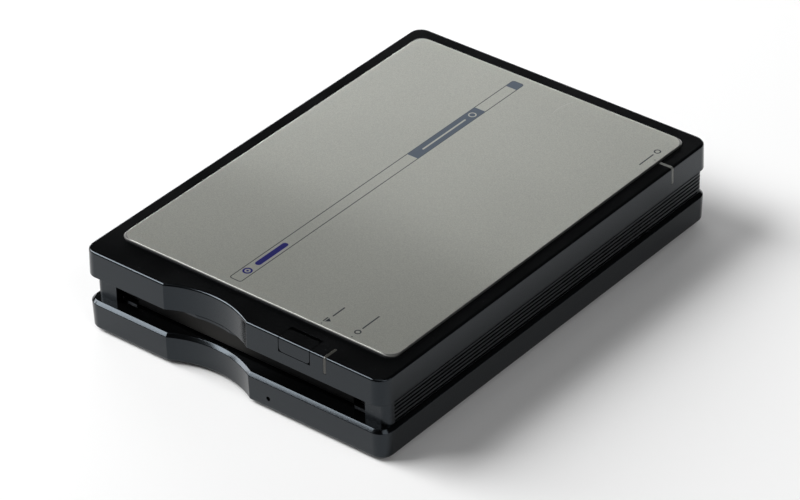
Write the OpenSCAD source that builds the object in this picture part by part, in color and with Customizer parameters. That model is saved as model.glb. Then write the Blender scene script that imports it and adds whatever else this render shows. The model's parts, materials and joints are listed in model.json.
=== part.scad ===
// External magneto-optical disc drive: a slot-loading case in three shells, and the mechanism in it.
// Millimetres, +Z up, front towards -Y, origin on the surface it stands on, under the case's middle.

/* [Cartridge] */
// Width of the disc cartridge
cart_w = 90; // [88:0.5:94]
// Length of the disc cartridge
cart_l = 94; // [92:0.5:98]
// Thickness of the disc cartridge
cart_h = 6; // [5.6:0.1:6.6]

/* [Case] */
// From the cartridge's side to the case's side
side_room = 10.35; // [10.2:0.05:14]
// From the case's front to the loaded cartridge
front_room = 8; // [7.8:0.1:12]
// From the loaded cartridge to the case's back
rear_room = 53.4; // [53:0.2:65]
// Height of the rubber feet below the case
foot_h = 0.8; // [0.6:0.1:2]
// Height of the lower shell
lower_h = 9.6; // [9.3:0.05:12]
// Height of the upper shell, up to its rim
upper_h = 8.75; // [8.6:0.05:12]
// Height of the ribbed waist beyond the cartridge's thickness
mouth_room = 2.55; // [2.3:0.05:3]
// Radius of the case's upright corners
corner_r = 4.4; // [3.5:0.1:7]
// Wall of the shells
wall = 2; // [1.6:0.1:2.3]
// Draft of the upper shell over its height
upper_draft = 0.15; // [0.1:0.05:0.6]
// Draft of the lower shell over its height
lower_draft = 0.25; // [0.1:0.05:0.6]
// Rounding of the rim's edge
rim_round = 0.75; // [0.4:0.05:1.2]
// Chamfer round the top of the lower shell
deck_chamfer = 1; // [0.6:0.1:1.4]

/* [Waist and mouth] */
// How far the waist stands back from the shells at the sides and the back
waist_inset = 1.25; // [0.9:0.05:1.5]
// How far the waist stands back from the shells at the front
mouth_depth = 3.4; // [3.2:0.1:3.8]
// Room on each side of the cartridge in the mouth
mouth_side = 1.1; // [0.8:0.1:1.6]
// Distance between the waist's grooves
rib_pitch = 1.3; // [1.2:0.05:1.4]
// Depth of the waist's grooves
rib_depth = 0.6; // [0.3:0.1:0.8]
// Radius of the finger notch in both lips
notch_r = 31.5; // [26:0.5:38]
// Depth of the finger notch
notch_depth = 4; // [3.4:0.1:4.2]
// Place of the finger notch
notch_x = -9.1; // [-14:0.1:-6]

/* [Top plate] */
// Rim beside the plate
plate_side = 4.85; // [4.2:0.05:6]
// Rim in front of the plate
plate_front = 10.6; // [10:0.1:14]
// Rim behind the plate
plate_back = 5.2; // [4:0.1:8]
// Thickness of the plate
plate_t = 1; // [0.8:0.1:1.4]
// How far the plate stands above the rim
plate_proud = 0.6; // [0.3:0.1:0.7]

/* [Controls] */
// Place of the eject button
button_x = 23.7; // [18:0.1:24]
// Width of the eject button
button_w = 11; // [9:0.5:12]
// Height of the eject button on the front
button_h = 4.6; // [4:0.1:5]
// Depth of the eject button on the top
button_top = 5; // [4:0.1:5.2]
// Travel of the eject button
button_travel = 0.9; // [0.6:0.1:1]
// Place of the access lamp
access_x = 34.7; // [33.5:0.1:38]
// Place of the power lamp, in front of the case's back
power_back = 19; // [16:0.5:22]
// Width of the lamps' light pipes
pipe_w = 1; // [0.8:0.1:1.6]
// Place of the emergency eject hole
pin_x = 13.4; // [8:0.2:24]
// Height of the emergency eject hole above the lower shell's bottom
pin_h = 3.55; // [3.2:0.05:5]
// Radius of the emergency eject hole
pin_r = 0.65; // [0.5:0.05:0.9]

/* [Mechanism] */
// How far the cartridge holder comes down
drop = 2.4; // [2:0.1:2.6]
// Travel of the loading slide
load_travel = 8; // [6:0.5:8]
// Travel of the optical head
seek_travel = 17.5; // [14:0.5:18]
// Distance from the spindle to the head at its inner stop
seek_start = 23.5; // [23:0.5:25]
// Module of the gear teeth
gear_m = 0.5; // [0.45:0.01:0.5]
// Running clearance of shafts and pins
fit = 0.05; // [0.03:0.01:0.08]

/* [Hidden] */
$fn = 48;

// Gaps and sheet thicknesses
gap = 0.3;
seam = 0.1;
sheet = 0.6;
bend = 0.3;
plate_gauge = 1;
board_t = 1.2;
board_r = 0.8;
thin = 0.01;
far = 300;

// Outline of the case
body_w = cart_w + 2 * side_room;
body_d = cart_l + front_room + rear_room;
half_w = body_w / 2;
half_d = body_d / 2;
front_y = -half_d;
waist_h = cart_h + mouth_room;
base_z = foot_h;
floor_z = base_z + wall;
deck_z = base_z + lower_h;
soffit_z = deck_z + waist_h;
rim_z = soffit_z + upper_h;
ceiling_z = rim_z - wall;
lip_t = 1.8;
lower_wall = wall + 0.4;
upper_wall = wall + 0.2;
low_round = 0.9;
soffit_edge = 0.2;

// Waist band between the shells
waist_x = half_w - waist_inset;
waist_front = front_y + mouth_depth;
waist_back = half_d - waist_inset;
waist_t = 1.8;
waist_r = 2.6;
waist_inner_y = waist_front + waist_t;
rib_front = waist_front + 3.1;
rib_w = 0.65;
rib_count = 6;
slot_half = cart_w / 2 + mouth_side;
slot_top = soffit_z - 0.8;
guide_y = waist_inner_y + 0.5;
guide_d = 1.4;
guide_h = 1.2;
guide_t = 0.5;
notch_round = 0.6;
notch_wall = 1.4;
notch_y = front_y + notch_depth - notch_r;

// Cartridge bay
cart_front = front_room - half_d;
cart_back = cart_front + cart_l;
cart_z = deck_z + 1.25;
holder_in = cart_w / 2 + gap;
holder_out = holder_in + sheet;
flange_w = 4;
lid_x = 26;
lid_half = 9;
lid_y = 12;
lid_len = 30;
finger_half = 15;
finger_d = 6;
flange_top = cart_z - 0.1;
holder_z = flange_top - sheet;
holder_lid = cart_z + cart_h + gap;
holder_top = holder_lid + sheet;
holder_front = cart_front - 0.4;
holder_back = cart_back + 2;
lid_front = cart_front + 8;
pin_front_y = cart_front + 30;
pin_back_y = cart_back - 14;
cam_pin_r = 1.2;
cam_pin_z = (holder_z + holder_top) / 2;
cam_clear = 0.15;
pivot_x = holder_in - 5.5;
pivot_y = cart_back - 3.5;
pivot_r = 1;
arm_low = 3.4;
arm_t = 2;
tip_x = 9.2;
tip_r = 1.2;
yoke_open = 9;
magnet_lap = 5;
bias_h = 2.4;

// Chassis round the bay
tray_z = holder_z - drop - 0.4;
tray_t = 1.2;
tray_r = 2;
tray_wall_in = holder_out + 0.4;
tray_wall_out = tray_wall_in + plate_gauge;
tray_wall_top = holder_lid - 0.4;
tray_front = cart_front + 10;
tray_wall_back = cart_back + 6;
tray_back = cart_back + 28.4;
slide_in = tray_wall_out + gap;
slide_out = slide_in + plate_gauge;
ear_x = slide_in + 1.8;
ear_front = tray_front + 8;
ear_back = tray_back - 2;
post_r = 2;
peg_r = 0.8;
ear_root = 4;
ear_reach = 2.2;
ear_half = 2.4;
window_x = 37;
window_half = 5;
window_y = 14;
mount_h = 0.6;
screw_r = 1;
cap_r = 1.8;
cap_h = 1.1;

// Flap behind the mouth
flap_half = cart_w / 2 - 5;
flap_t = 1.2;
flap_bar_r = 0.9;
flap_y = front_y + notch_depth + notch_wall + gap + flap_bar_r;
flap_z = soffit_z + 0.4;
flap_pin_r = 0.6;
flap_foot = deck_z + 0.4;
ear_t = 2;
spring_in = 9.5;
spring_x = flap_half - spring_in;
spring_len = 5;
wire_r = 0.2;
spring_r = flap_pin_r + 0.15 + wire_r;
spring_turns = 5;
spring_pitch = (spring_len - 2 * wire_r) / spring_turns;
leg_low = 3.4;
leg_high = 1.6;
leg_steps = 4;

// Screws through the case
boss_x = half_w - 6;
boss_front = cart_front + 3;
boss_back = half_d - 9.4;
boss_r = 2.3;
boss_low_r = 2.9;
case_screw_r = 1.1;
head_r = 2.2;
head_h = 1.6;
seat_h = 2.2;
screw_edge = 0.3;
recess_half = 1.2;
recess_w = 0.5;
recess_d = 0.8;
foot_r = 5;
foot_sink = 0.3;
foot_edge = 0.4;
foot_x = half_w - 17.3;
foot_y = half_d - 17.4;

// Eject button and lamps on the upper shell
button_low = rim_z - button_h;
button_rear = front_y + upper_draft + button_top;
button_gap = 0.25;
stem_z = button_low + 0.8;
switch_y = button_rear + 0.9;
lamp_depth = 5.1;
access_low = rim_z - 5.4;
access_rear = front_y + upper_draft + lamp_depth;
power_y = half_d - power_back;
power_low = rim_z - 5.6;
plate_x = half_w - upper_draft - plate_side;
plate_y0 = front_y + upper_draft + plate_front;
plate_y1 = -front_y - upper_draft - plate_back;
plate_r = 3;
plate_face_r = 4.4;
plate_edge = 0.25;

// Front board behind the button
panel_y = switch_y + 2;
panel_x0 = button_x - 13.8;
panel_x1 = access_x + 7.4;
panel_z0 = soffit_z + 2;
panel_z1 = ceiling_z - 0.2;
lamp_half = 0.8;
tail_half = 0.5;
switch_half = 2.25;
switch_rise = 1.7;
plunger_r = 0.8;
plug_half = 5;
plug_t = 2.4;
plug_r = 0.4;
plug_h = 2;
plug_y = 6;

// Spindle and head
spindle_y = cart_back - 46.5;
locate_x = 37;
locate_y = spindle_y + 22;
locate_r = 1.5;
locate_h = 2;
rotor_r = 12;
rotor_wall = 1.5;
rotor_roof = 0.7;
rotor_low = 0.8;
rotor_top = 2.5;
rotor_edge = 0.2;
seat_r = 10.4;
seat_in = 8.6;
seat_top = 2.9;
hub_r = 1.95;
hub_top = 3.1;
shaft_r = 1.5;
shaft_low = 1.2;
bearing_r = 3.4;
bearing_low = 1.4;
bearing_top = 0.6;
flange_r = 15;
flange_t = 0.5;
stator_r = 9.4;
stator_in = 4.2;
stator_h = 1.5;
stator_poles = 9;
pole_gap = 1;
head_y = spindle_y + seek_start;
head_half = 6.5;
rail_x = 16;
rail_r = 1;
rail_z = tray_z + 1.1;
rail_seat_half = 2.4;
rail_seat_d = 2;
rail_seat_r = 1.8;
rail_y0 = head_y - head_half - 4.5;
rail_y1 = head_y + seek_travel + head_half + 7;
carriage_x = 19.5;
carriage_z = tray_z - 0.2;
carriage_h = 2.6;
body_x = 10;
pocket_half = 1.2;
beam_r = 1;
coil_x = carriage_x + 3;
coil_half = 3;
coil_len = 10;
coil_low = 2;
coil_high = 1.6;
coil_wall = 1;
yoke_half = 1.1;
yoke_low = 0.6;
yoke_high = 0.4;
yoke_end = 1.5;
magnet_x = coil_x + coil_half + 0.5;
magnet_t = 2;
magnet_in = 4;
magnet_high = 1.2;
yoke_t = 1.2;
well_x = magnet_x + 0.5;
lens_r = 1.9;
lens_holder_r = 3;

// Optics behind the head
optics_x = 19;
optics_y0 = rail_y1 + 1;
optics_d = 13;
optics_top = tray_z + 6.6;
optics_r = 1.5;
optics_in = 3;
optics_step = 1;
beam_z = 2;
diode_x = -8;
diode_z = 3;
diode_r = 2.8;
diode_can = 2.3;
diode_depth = 2.8;
diode_flange = 1.2;
diode_lip = 0.4;
lead_gap = 1.2;
lead_r = 0.25;
lead_len = 2;

// Loading gears: a rack on the slide, a two-step gear and the motor's pinion
rack_teeth = 14;
wheel_teeth = 24;
pinion_teeth = 10;
rack_r = rack_teeth * gear_m / 2;
wheel_r = wheel_teeth * gear_m / 2;
pinion_r = pinion_teeth * gear_m / 2;
tip = 0.9 * gear_m;
root = 1.2 * gear_m;
backlash = 0.05;
gear_x = -(slide_in - root - rack_r - backlash);
gear_y = cart_back + 20;
mesh_angle = 30;
mesh_r = wheel_r + pinion_r + backlash;
motor_x = gear_x + mesh_r * cos(mesh_angle);
motor_y = gear_y + mesh_r * sin(mesh_angle);
wheel_z = tray_z + 1.2;
wheel_t = 2;
rack_z = wheel_z + 3.6;
rack_t = 2.4;
axle_r = 0.75;
motor_r = 4;
motor_z = wheel_z + 3.1;
motor_h = 7.9;
motor_boss_r = 1.4;
motor_shaft_r = 0.6;
bracket_t = 0.7;

// Loading slide
slide_z0 = cam_pin_z - drop - cam_pin_r - 1.2;
slide_z1 = cam_pin_z + cam_pin_r + 0.8;
slide_front = pin_front_y - load_travel - 3.5;
bridge_y = holder_back + 1;
bridge_d = 6;
bridge_z = holder_top + 1;
bridge_t = 0.8;
slide_rise = pin_back_y + 4;
slide_rear_z = wheel_z + wheel_t + 2 * gap;
rack_y0 = gear_y - load_travel - 3;
rack_y1 = gear_y + 3;

// Boards
drive_board_top = tray_z - tray_t - 1;
drive_board_x = 41;
drive_board_y0 = cart_front + 26;
drive_board_y1 = cart_back + 22;
stand_x = drive_board_x - 3;
chip_x = 25;
chip_y = 12;
chip_w = 14;
chip_h = 0.7;
io_chip_w = 10;
tab_half = 4.2;
io_z = tray_z + 1.8;
io_top = io_z + board_t;
io_x = cart_w / 2 + 0.5;
io_y0 = tray_back + 1.6;
io_y1 = waist_back - 2.1;
io_post_x = 30;
io_post_y0 = io_y0 + 4;
io_post_y1 = io_y1 - 4;
tab_x = waist_x - waist_t - 0.5;
lamp_tail_x = tab_x - lamp_half - 0.15;
usb_x = 18;
usb_w = 7.7;
usb_h = 3.95;
usb_d = 9;
usb_key = 0.95;
usb_wall = 0.4;
jack_x = -22;
jack_w = 9;
jack_h = 6.5;
jack_d = 11;
jack_bore = 2.75;
jack_r = 0.8;
jack_pin_r = 0.8;
ribbon_x = 20;
ribbon_w = 8;
ribbon_t = 0.3;
ribbon_bend = 1.5;
ribbon_z = ceiling_z - 3;

// Points of an arc
function arc(c, r, a0, a1, n = 8) =
    [for (i = [0:n]) let (a = a0 + (a1 - a0) * i / n) [c[0] + r * cos(a), c[1] + r * sin(a)]];

// Points of a rectangle with round corners
function rounded(x0, y0, x1, y1, r) = concat(
    arc([x1 - r, y1 - r], r, 0, 90), arc([x0 + r, y1 - r], r, 90, 180),
    arc([x0 + r, y0 + r], r, 180, 270), arc([x1 - r, y0 + r], r, 270, 360));

// Outline of a gear with straight-sided teeth, one of them on the X axis
function gear_points(n, r) = [for (i = [0:n - 1], p = [[-0.26, -root], [-0.1, tip], [0.1, tip], [0.26,
    -root]])
    let (a = (i + p[0]) * 360 / n) (r + p[1]) * [cos(a), sin(a)]];

// Box between two corners
module block(a, b) {
    translate(a) cube(b - a);
}

// Points of the finger notch on the front of an outline that lies inset from the case's
function notch_points(inset) = let (
    reach = notch_r + inset + notch_round,
    rise = reach - notch_depth,
    run = sqrt(reach * reach - rise * rise),
    lean = atan2(rise, run),
    y = front_y + inset + notch_round,
    hollow = arc([notch_x, notch_y], notch_r + inset, 180 - lean, lean, 26)) concat(
    arc([notch_x - run, y], notch_round, 270, 360 - lean, 4),
    [for (i = [1:len(hollow) - 2]) hollow[i]],
    arc([notch_x + run, y], notch_round, 180 + lean, 270, 4));

// Outline of the case, drawn in by inset, with or without the finger notch
function case_outline(inset, notched) = let (
    r = corner_r - inset,
    x = half_w - corner_r,
    y = half_d - corner_r) concat(
    arc([x, y], r, 0, 90), arc([-x, y], r, 90, 180), arc([-x, -y], r, 180, 270),
    notched ? notch_points(inset) : [],
    arc([x, -y], r, 270, 360));

// Solid skinned over rings with the same number of points
module skin(rings) {
    n = len(rings[0]);
    last = len(rings) - 1;
    sides = [for (i = [0:last - 1], j = [0:n - 1], half = [0, 1])
        let (k = (j + 1) % n, a = i * n + j, b = a + n, c = i * n + k, d = c + n)
        half == 0 ? [a, b, d] : [a, d, c]];
    polyhedron([for (r = rings, p = r) p],
        concat([[for (j = [0:n - 1]) j]], sides, [[for (j = [n - 1:-1:0]) last * n + j]]), convexity = 6);
}

// Solid lofted through outlines at their heights
module loft(outlines, heights) {
    skin([for (i = [0:len(heights) - 1]) [for (p = outlines[i]) [p[0], p[1], heights[i]]]]);
}

// Solid lofted through the case's outline: each level is an inset and a height
module case_shape(levels, notched = true) {
    loft([for (l = levels) case_outline(l[0], notched)], [for (l = levels) l[1]]);
}

// Outline in plan, between two heights
module plan(z0, z1) {
    translate([0, 0, z0]) linear_extrude(z1 - z0) children();
}

// Profile of depth and height, extruded across the drive
module across(x0, x1) {
    translate([x0, 0, 0]) rotate([90, 0, 90]) linear_extrude(x1 - x0) children();
}

// Profile of width and height, extruded along the drive
module along(y0, y1) {
    translate([0, y1, 0]) rotate([90, 0, 0]) linear_extrude(y1 - y0) children();
}

// Plate with round corners between two heights
module slab(x0, y0, x1, y1, r, z0, z1) {
    plan(z0, z1) polygon(rounded(x0, y0, x1, y1, r));
}

// Screw turned from its seat to its tip, with a crossed recess in its head
module screw(shank_r, cap_r, cap_h, seat, tip) {
    way = seat > tip ? 1 : -1;
    crown = seat + way * cap_h;
    difference() {
        rotate_extrude() polygon([[0, crown], [cap_r - screw_edge, crown], [cap_r,
            crown - way * screw_edge],
            [cap_r, seat], [shank_r, seat], [shank_r, tip + way * screw_edge], [shank_r - screw_edge,
                tip], [0, tip]]);
        for (a = [0, 90])
            rotate([0, 0, a])
                block([-recess_half, -recess_w / 2, min(crown - way * recess_d, crown + way)],
                    [recess_half, recess_w / 2, max(crown - way * recess_d, crown + way)]);
    }
}

// Quarter of a round between a wall and a face, as insets and heights
function edge_round(inset, z, r, up) =
    [for (p = arc([inset + r, z], r, 180, up ? 90 : 270, 5)) p];

// Levels whose last step is carried on as far again
function run_on(levels) = let (n = len(levels) - 1)
    [for (i = [0:n]) i < n ? levels[i] : 2 * levels[n] - levels[n - 1]];

// Outside of the upper shell, lofted a little past the rim and cut off flat there
module upper_outside() {
    difference() {
        case_shape(run_on(concat([[soffit_edge, soffit_z], [0, soffit_z + soffit_edge]],
            edge_round(upper_draft, rim_z - rim_round, rim_round, true))));
        block([-far, -far, rim_z], [far, far, rim_z + rim_round]);
    }
}

// Outside of the lower shell, lofted a little past the deck and cut off flat there
module lower_outside() {
    low = edge_round(lower_draft, base_z + low_round, low_round, false);
    difference() {
        case_shape(run_on(concat([for (i = [len(low) - 1:-1:0]) low[i]],
            [[0, deck_z - deck_chamfer], [deck_chamfer, deck_z]])));
        block([-far, -far, deck_z], [far, far, deck_z + 2 * deck_chamfer]);
    }
}

// Finger notch through everything between two heights
module notch(z0, z1) {
    p = notch_points(0);
    out = front_y - mouth_depth;
    plan(z0, z1) polygon(concat(p, [[p[len(p) - 1][0], out], [p[0][0], out]]));
}

// Wall left behind the finger notch
module notch_backing(z0, z1) {
    translate([notch_x, notch_y, z0]) cylinder(r = notch_r + notch_wall, h = z1 - z0, $fn = 96);
}

// Places of the four case screws
module at_case_screws() {
    for (x = [-boss_x, boss_x], y = [boss_front, boss_back])
        translate([x, y, 0]) children();
}

// Places of the four chassis mounts
module at_mounts() {
    for (x = [-ear_x, ear_x], y = [ear_front, ear_back])
        translate([x, y, 0]) children();
}

// Places of the posts under the interface board
module at_io_posts() {
    for (x = [-io_post_x, io_post_x], y = [io_post_y0, io_post_y1])
        translate([x, y, 0]) children();
}

// Places of the standoffs under the drive board
module at_stands() {
    for (x = [-stand_x, stand_x], y = [drive_board_y0 + 4, drive_board_y1 - 4])
        translate([x, y, 0]) children();
}

// Cylinder from one height to another
module post(r, z0, z1) {
    translate([0, 0, z0]) cylinder(r = r, h = z1 - z0);
}

// Cylinder along X from one place to another
module rod_x(r, x0, x1, y, z) {
    translate([x0, y, z]) rotate([0, 90, 0]) cylinder(r = r, h = x1 - x0);
}

// Cylinder along Y from one place to another
module rod_y(r, y0, y1, x, z) {
    translate([x, y0, z]) rotate([-90, 0, 0]) cylinder(r = r, h = y1 - y0);
}

// Copies on the left and on the right
module both_sides() {
    children();
    mirror([1, 0, 0]) children();
}

module lower_case() {
    color("#25272b") difference() {
        union() {
            difference() {
                lower_outside();
                difference() {
                    case_shape([[lower_wall + lower_draft, floor_z], [lower_wall, deck_z + 1]], false);
                    block([-far, -far, deck_z - lip_t], [far, holder_front - 0.4, far]);
                    notch_backing(0, deck_z + 2);
                }
            }
            at_case_screws() post(boss_low_r, floor_z - thin, deck_z - seam);
            at_mounts() post(post_r, floor_z - thin, tray_z - tray_t - mount_h);
            at_stands() {
                post(post_r, floor_z - thin, drive_board_top - board_t);
                post(peg_r, floor_z - thin, drive_board_top - seam);
            }
            at_io_posts() post(post_r, floor_z - thin, io_z);
        }
        at_case_screws() {
            post(head_r + 0.2, base_z - 1, base_z + seat_h);
            post(case_screw_r + 0.1, 0, deck_z + 1);
        }
        at_mounts() post(screw_r + fit, floor_z + 0.4, deck_z);
        at_io_posts() post(screw_r + fit, floor_z + 1, deck_z + 5);
        rod_y(pin_r, -half_d - 1, -half_d + lower_wall + lower_draft + 1, pin_x, base_z + pin_h);
        for (x = [-foot_x, foot_x], y = [-foot_y, foot_y])
            translate([x, y, 0]) post(foot_r + seam, 0, base_z + foot_sink);
    }
}

// Grooves round the sides and the back of the waist
module waist_grooves() {
    inner = waist_x - rib_depth;
    for (i = [0:rib_count - 1])
        translate([0, 0, deck_z + 0.4 + i * rib_pitch - (i == 0 ? 0.05 : 0)])
            linear_extrude(rib_w)
                difference() {
                    translate([-far, rib_front]) square([2 * far, far]);
                    polygon(rounded(-inner, waist_front, inner, waist_back - rib_depth,
                        waist_r - rib_depth));
                }
}

module waist_frame() {
    inner = waist_x - waist_t;
    color("#1b1c1f") difference() {
        union() {
            translate([0, 0, deck_z])
                linear_extrude(waist_h)
                    difference() {
                        polygon(rounded(-waist_x, waist_front, waist_x, waist_back, waist_r));
                        polygon(rounded(-inner, waist_inner_y, inner, waist_back - waist_t, 1));
                    }
            both_sides()
                block([flap_half + gap, waist_inner_y - thin, flap_z - 1.1],
                    [flap_half + gap + ear_t, flap_y + 1.1, flap_z + 1.1]);
        }
        block([-slot_half, waist_front - 1, deck_z - 1], [slot_half, waist_inner_y + thin, slot_top]);
        rod_x(flap_pin_r + fit, -flap_half - gap - ear_t - 1, flap_half + gap + ear_t + 1, flap_y, flap_z);
        notch(slot_top - 1, soffit_z + 1);
        waist_grooves();
        block([usb_x - usb_w / 2 - 0.5, waist_back - 4, io_top - 0.3],
            [usb_x + usb_w / 2 + 0.5, waist_back + 1, io_top + usb_h + 0.5]);
        block([jack_x - jack_w / 2 - 0.4, waist_back - 4, io_top - 0.3],
            [jack_x + jack_w / 2 + 0.4, waist_back + 1, io_top + jack_h + 0.4]);
    }
}

// Space that the eject button moves in
module button_hole() {
    w = button_w / 2 + button_gap;
    block([button_x - w, -far, button_low - button_gap],
        [button_x + w, button_rear + button_travel + button_gap, rim_z + 1]);
}

// Slot that a light pipe is pressed into, or the pipe's own leg with grow at 0
module access_slot(grow) {
    block([access_x - pipe_w / 2 - grow, -far, access_low - grow],
        [access_x + pipe_w / 2 + grow, access_rear + grow, rim_z + 1]);
}

module power_slot(grow) {
    block([plate_x + seam - grow, power_y - pipe_w / 2 - grow, power_low - grow],
        [far, power_y + pipe_w / 2 + grow, rim_z + 1]);
}

// Leg of the power lamp's light pipe down to the lamp on the board
module power_tail(grow) {
    block([lamp_tail_x - tail_half - grow, power_y - pipe_w / 2 - grow, io_top + 1.7],
        [lamp_tail_x + tail_half + grow, power_y + pipe_w / 2 + grow, rim_z - 1.2]);
}

module upper_case() {
    color("#1e2023") difference() {
        union() {
            difference() {
                upper_outside();
                difference() {
                    case_shape([[upper_wall, soffit_z - 1], [upper_draft + wall, ceiling_z]], false);
                    block([-far, -far, 0], [far, waist_inner_y - 0.2, soffit_z + lip_t]);
                    notch_backing(0, far);
                }
            }
            at_case_screws() post(boss_r, deck_z, ceiling_z + thin);
            for (s = [-1, 1])
                block([button_x + s * (button_w / 2 - 0.6) - 0.6, front_y + wall, soffit_z + lip_t - thin],
                    [button_x + s * (button_w / 2 - 0.6) + 0.6, button_rear, button_low - button_gap]);
            for (x = [panel_x0, panel_x1])
                block([x - 1.4, panel_y - 1.4, panel_z0 - 0.4], [x + 1.4, panel_y + board_t + 1.4,
                    ceiling_z + thin]);
        }
        at_case_screws() post(case_screw_r + fit, 0, rim_z - upper_h / 2);
        translate([0, 0, rim_z + plate_proud - plate_t])
            linear_extrude(plate_t)
                polygon(rounded(-plate_x - seam, plate_y0 - seam, plate_x + seam, plate_y1 + seam,
                    plate_r + seam));
        button_hole();
        access_slot(fit);
        power_slot(fit);
        power_tail(fit);
        block([panel_x0 - seam, panel_y - fit, panel_z0 - 1], [panel_x1 + seam, panel_y + board_t + fit,
            panel_z1 + fit]);
    }
}

module top_plate() {
    z = rim_z + plate_proud;
    base = rounded(-plate_x, plate_y0, plate_x, plate_y1, plate_r);
    face = rounded(plate_edge - plate_x, plate_y0 + plate_edge, plate_x - plate_edge,
        plate_y1 - plate_edge, plate_face_r);
    color("#b4b2ab") loft([base, base, face], [z - plate_t, z - plate_edge, z]);
}

module rubber_feet() {
    top = base_z + foot_sink;
    color("#16171a")
        for (x = [-foot_x, foot_x], y = [-foot_y, foot_y])
            translate([x, y, 0]) rotate_extrude()
                polygon([[0, 0], [foot_r - foot_edge, 0], [foot_r, foot_edge], [foot_r, top], [0, top]]);
}

module case_screws() {
    color("#8d9094") at_case_screws() screw(case_screw_r, head_r, head_h, base_z + seat_h,
        rim_z - upper_h / 2 - 1);
}

module eject_button() {
    inside = button_w / 2 - 1.2;
    front_in = front_y + 2;
    color("#222427") {
        difference() {
            intersection() {
                upper_outside();
                translate([0, 0, soffit_z])
                    linear_extrude(far)
                        polygon(rounded(button_x - button_w / 2, -half_d - 9, button_x + button_w / 2,
                            button_rear, 1));
                translate([0, 0, 0]) rotate([90, 0, 0]) linear_extrude(far)
                    polygon(rounded(button_x - button_w / 2, button_low, button_x + button_w / 2,
                        rim_z + 9, 1.2));
            }
            block([button_x - inside, front_in, 0], [button_x + inside, far, rim_z - 1.8]);
        }
        rod_y(1, front_in - thin, switch_y - button_travel - 0.9, button_x, stem_z);
        for (s = [-1, 1])
            block([button_x + s * (button_w / 2 + 0.3) - 0.6, front_y + upper_wall + upper_draft + gap,
                button_low + 0.4],
                [button_x + s * (button_w / 2 + 0.3) + 0.6, button_rear - 1.5, button_low + 1.6]);
    }
}

module access_light_pipe() {
    leg = 1.5;
    color("#c9d4d6") {
        difference() {
            intersection() {
                upper_outside();
                access_slot(0);
            }
            block([-far, front_y + upper_draft + leg, 0], [far, far, rim_z - leg]);
        }
        block([access_x - pipe_w / 2, front_y + upper_draft + leg - 0.3, stem_z - 0.6],
            [access_x + pipe_w / 2, panel_y - 1.6, stem_z + 0.6]);
    }
}

module power_light_pipe() {
    leg = 1.5;
    side = half_w - upper_draft - leg;
    color("#c9d4d6") {
        difference() {
            intersection() {
                upper_outside();
                power_slot(0);
            }
            block([-far, -far, 0], [side, far, rim_z - leg]);
        }
        power_tail(0);
    }
}

module slot_flap() {
    foot = flap_t / 2;
    color("#2b2d31") difference() {
        union() {
            across(-flap_half, flap_half) {
                polygon(concat([[flap_y + foot, flap_z], [flap_y - foot, flap_z]],
                    arc([flap_y, flap_foot + foot], foot, 180, 360, 8)));
                translate([flap_y, flap_z]) circle(r = flap_bar_r);
            }
            rod_x(flap_pin_r, -flap_half - gap - ear_t, flap_half + gap + ear_t, flap_y, flap_z);
        }
        difference() {
            block([spring_x - gap, flap_y - 2, flap_z - spring_r - wire_r - 0.1],
                [spring_x + spring_len + gap, flap_y + 2, flap_z + 2]);
            rod_x(flap_pin_r, 0, far, flap_y, flap_z);
        }
    }
}

// Points along the spring's wire, each with its angle round the pin: a leg, the coil and a leg
function spring_path() = let (start = spring_x + wire_r, steps = 12) concat(
    [for (i = [0:leg_steps - 1]) [[start, flap_y + spring_r, flap_z - leg_low * (1 - i / leg_steps)], 0]],
    [for (i = [0:spring_turns * steps]) let (a = 360 * i / steps)
        [[start + spring_pitch * i / steps, flap_y + spring_r * cos(a), flap_z + spring_r * sin(a)], a]],
    [for (i = [1:leg_steps]) [[start + spring_pitch * spring_turns, flap_y + spring_r,
        flap_z + leg_high * i / leg_steps], 0]]);

// Least gap between stretches of the wire that are more than half a turn apart
function spring_gap(path) = min([for (i = [0:len(path) - 8], j = [i + 7:len(path) - 1])
    norm(path[i][0] - path[j][0])]) - 2 * wire_r;

module flap_spring() {
    path = spring_path();
    last = len(path) - 1;
    echo(str("least gap in the flap spring: ", spring_gap(path), " mm"));
    color("#9a9da1") skin([for (i = [0:last]) let (
        step = path[min(i + 1, last)][0] - path[max(i - 1, 0)][0],
        ahead = step / norm(step),
        out = [0, cos(path[i][1]), sin(path[i][1])],
        side = cross(ahead, out))
        [for (k = [0:5]) path[i][0] + wire_r * (cos(60 * k) * out + sin(60 * k) * side)]]);
}

module slot_guides() {
    left = flap_half + gap;
    right = slot_half - fit;
    color("#b9bcc0") both_sides() {
        slab(left, guide_y, right, guide_y + guide_d, guide_t / 2, deck_z, deck_z + guide_t);
        slab(right - guide_t, guide_y, right, guide_y + guide_d, guide_t / 4, deck_z, deck_z + guide_h);
    }
}

module front_board() {
    back = panel_y + board_t;
    color("#2f5d3a") along(panel_y, back) polygon(rounded(panel_x0, panel_z0, panel_x1, panel_z1, board_r));
    color("#e4e0d4") along(back, back + plug_t)
        polygon(rounded(ribbon_x - plug_half, ribbon_z - plug_t / 2, ribbon_x + plug_half,
            ribbon_z + plug_t / 2, plug_r));
}

module eject_switch() {
    color("#2a2a2c") along(switch_y, panel_y)
        polygon(rounded(button_x - switch_half, stem_z - switch_rise, button_x + switch_half,
            stem_z + switch_rise, plug_r));
    color("#d8d4c8") rod_y(plunger_r, switch_y - plunger_r, switch_y + thin, button_x, stem_z);
}

module status_lamps() {
    color("#bfe0a8") {
        block([access_x - lamp_half, panel_y - 1.4, stem_z - lamp_half], [access_x + lamp_half, panel_y,
            stem_z + lamp_half]);
        block([lamp_tail_x - lamp_half, power_y - lamp_half, io_top], [lamp_tail_x + lamp_half,
            power_y + lamp_half, io_top + 1.5]);
    }
}

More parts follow.
